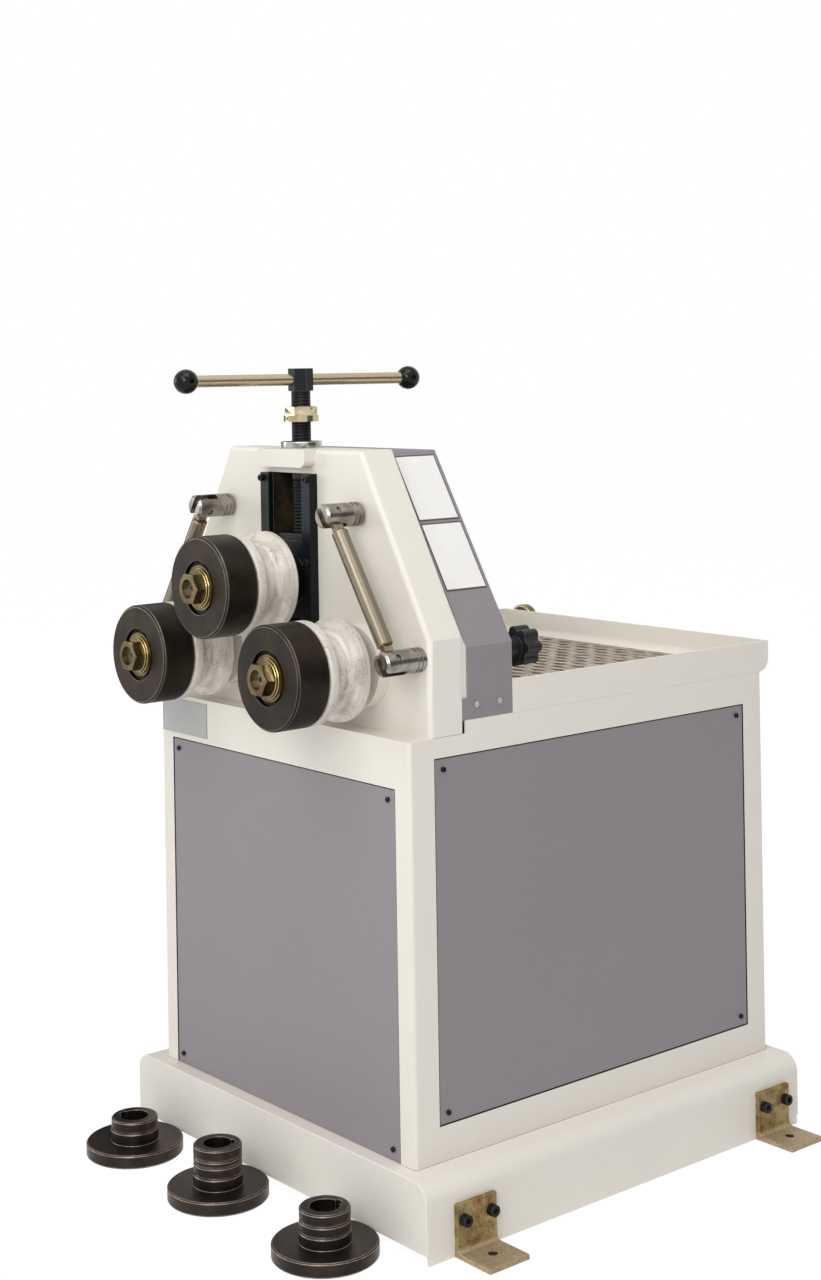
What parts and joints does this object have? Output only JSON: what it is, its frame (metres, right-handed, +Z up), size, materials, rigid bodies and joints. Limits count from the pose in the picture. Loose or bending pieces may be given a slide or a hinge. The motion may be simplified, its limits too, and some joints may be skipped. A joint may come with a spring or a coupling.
{
  "type": "angle roll bender",
  "caption": "Floor-standing section and tube bending machine: driven lower rolls, screw-fed top roll, folding guide arms, oil tray, and loose rolls standing by.",
  "frame": {"origin": "middle of the four floor bolt holes, on the floor", "axes": "+Z up, -Y to the front (roll side), +X to the right seen from the front"},
  "size_m": [0.8392, 0.929, 1.1735],
  "materials": {
    "cream_paint": "satin powder coat, cream",
    "grey_paint": "satin powder coat, warm grey",
    "zinc_bracket": "stained yellow zinc plate",
    "black_screws": "black oxide",
    "bright_screws": "bright zinc plate",
    "black_plastic": "matt moulded, black",
    "black_gloss": "polished thermoset, black",
    "mesh_steel": "expanded sheet, dulled",
    "yellow_zinc": "yellow zinc plate",
    "dark_steel": "black oxide, oiled",
    "chrome_nut": "bright plated",
    "bronze": "turned bronze",
    "machined_steel": "turned and ground",
    "drive_paint": "blue-grey enamel",
    "champagne_zinc": "yellow zinc plate, worn",
    "roll_white": "turned, scuffed",
    "roll_black": "blackened, worn edges",
    "arm_steel": "turned, worn",
    "rod_steel": "ground bar",
    "burnished_steel": "burnished, worn edges"
  },
  "bodies": {
    "stand": {"base_plinth": "cream_paint", "plinth_ends": "cream_paint", "floor_brackets": "zinc_bracket", "bracket_screws": "black_screws", "cabinet_frame": "cream_paint", "front_panel": "grey_paint", "right_panel": "grey_paint", "left_panel": "grey_paint", "rear_panel": "grey_paint", "panel_screws": "black_screws", "cable_gland": "black_plastic", "tray": "cream_paint", "tray_mesh": "mesh_steel", "roll_post": "yellow_zinc", "head_casing": "cream_paint", "gear_housing": "cream_paint", "gear_cover": "grey_paint", "cover_screws": "bright_screws", "slide_gibs": "dark_steel", "gib_screws": "black_screws", "gib_bridge": "dark_steel", "spindle_nut": "chrome_nut", "lower_bearings": "bronze", "idler_axle": "machined_steel", "gearbox": "drive_paint", "drive_motor": "drive_paint"},
    "slide": {"slide_block": "dark_steel", "slide_keeper": "dark_steel", "top_bearings": "bronze"},
    "screw": {"spindle": "dark_steel", "handle_bar": "champagne_zinc", "ball_knobs": "black_gloss"},
    "stop": {"stop_nut": "yellow_zinc"},
    "top_roll": {"top_shaft": "machined_steel", "top_tube_roll": "roll_white", "top_ring": "roll_black", "top_nut": "yellow_zinc"},
    "right_roll": {"right_shaft": "machined_steel", "right_tube_roll": "roll_white", "right_ring": "roll_black", "right_nut": "yellow_zinc", "right_gear": "machined_steel"},
    "left_roll": {"left_shaft": "machined_steel", "left_tube_roll": "roll_white", "left_ring": "roll_black", "left_nut": "yellow_zinc", "left_gear": "machined_steel"},
    "idler": {"idler_gears": "machined_steel"},
    "drive": {"drive_pinion": "machined_steel"},
    "right_stud": {"right_arm_stud": "arm_steel"},
    "right_rod": {"right_arm_rod": "rod_steel"},
    "right_tip": {"right_arm_tip": "arm_steel"},
    "right_knob": {"right_star_knob": "black_plastic"},
    "left_stud": {"left_arm_stud": "arm_steel"},
    "left_rod": {"left_arm_rod": "rod_steel"},
    "left_tip": {"left_arm_tip": "arm_steel"},
    "left_knob": {"left_star_knob": "black_plastic"},
    "loose_1": {"spare_roll_1": "burnished_steel"},
    "loose_2": {"spare_roll_2": "burnished_steel"},
    "loose_3": {"spare_roll_3": "burnished_steel"}
  },
  "joints": [
    {"name": "top_slide", "type": "slide", "parent": "stand", "child": "slide", "axis": [0, 0, 1], "range_m": [-0.028, 0.06]},
    {"name": "spindle_turn", "type": "hinge", "parent": "slide", "child": "screw", "pos_m": [0, -0.305, 1.056], "axis": [0, 0, 1], "range_deg": [-2021, 4325]},
    {"name": "stop_nut_turn", "type": "hinge", "parent": "screw", "child": "stop", "pos_m": [0, -0.305, 1.101], "axis": [0, 0, 1], "range_deg": [-180, 180]},
    {"name": "top_roll_spin", "type": "hinge", "parent": "slide", "child": "top_roll", "pos_m": [0, -0.36, 0.867], "axis": [0, 1, 0], "continuous": true},
    {"name": "right_roll_spin", "type": "hinge", "parent": "stand", "child": "right_roll", "pos_m": [0.162, -0.36, 0.7575], "axis": [0, 1, 0], "continuous": true},
    {"name": "left_roll_spin", "type": "hinge", "parent": "stand", "child": "left_roll", "pos_m": [-0.162, -0.36, 0.7575], "axis": [0, 1, 0], "continuous": true},
    {"name": "idler_spin", "type": "hinge", "parent": "stand", "child": "idler", "pos_m": [0, -0.266, 0.67904], "axis": [0, 1, 0], "continuous": true},
    {"name": "drive_spin", "type": "hinge", "parent": "stand", "child": "drive", "pos_m": [0, -0.266, 0.53404], "axis": [0, 1, 0], "continuous": true},
    {"name": "right_arm_swing", "type": "hinge", "parent": "stand", "child": "right_stud", "pos_m": [0.2825, -0.323, 0.778], "axis": [0, 1, 0], "range_deg": [-10, 105]},
    {"name": "right_arm_fold", "type": "hinge", "parent": "right_stud", "child": "right_rod", "pos_m": [0.2825, -0.37, 0.778], "axis": [0.8358, 0, 0.549], "range_deg": [0, 90]},
    {"name": "right_tip_fold", "type": "hinge", "parent": "right_rod", "child": "right_tip", "pos_m": [0.15732, -0.37, 0.96856], "axis": [0.8358, 0, 0.549], "range_deg": [0, 90]},
    {"name": "right_knob_turn", "type": "hinge", "parent": "right_stud", "child": "right_knob", "pos_m": [0.2825, -0.266, 0.778], "axis": [0, 1, 0], "range_deg": [-180, 180]},
    {"name": "left_arm_swing", "type": "hinge", "parent": "stand", "child": "left_stud", "pos_m": [-0.2825, -0.323, 0.778], "axis": [0, 1, 0], "range_deg": [-105, 10]},
    {"name": "left_arm_fold", "type": "hinge", "parent": "left_stud", "child": "left_rod", "pos_m": [-0.2825, -0.37, 0.778], "axis": [0.8358, 0, -0.549], "range_deg": [0, 90]},
    {"name": "left_tip_fold", "type": "hinge", "parent": "left_rod", "child": "left_tip", "pos_m": [-0.15732, -0.37, 0.96856], "axis": [0.8358, 0, -0.549], "range_deg": [0, 90]},
    {"name": "left_knob_turn", "type": "hinge", "parent": "left_stud", "child": "left_knob", "pos_m": [-0.2825, -0.266, 0.778], "axis": [0, 1, 0], "range_deg": [-180, 180]},
    {"name": "loose_1_lift", "type": "slide", "parent": "stand", "child": "loose_1", "axis": [0, 0, 1], "range_m": [0, 0.3]},
    {"name": "loose_2_lift", "type": "slide", "parent": "stand", "child": "loose_2", "axis": [0, 0, 1], "range_m": [0, 0.3]},
    {"name": "loose_3_lift", "type": "slide", "parent": "stand", "child": "loose_3", "axis": [0, 0, 1], "range_m": [0, 0.3]}
  ],
  "couplings": [
    {"joint": "spindle_turn", "follows": "top_slide", "rad_per_m": 1256.6},
    {"joint": "left_roll_spin", "follows": "right_roll_spin", "ratio": 1},
    {"joint": "idler_spin", "follows": "right_roll_spin", "ratio": -1.25},
    {"joint": "drive_spin", "follows": "right_roll_spin", "ratio": 2.7778}
  ]
}
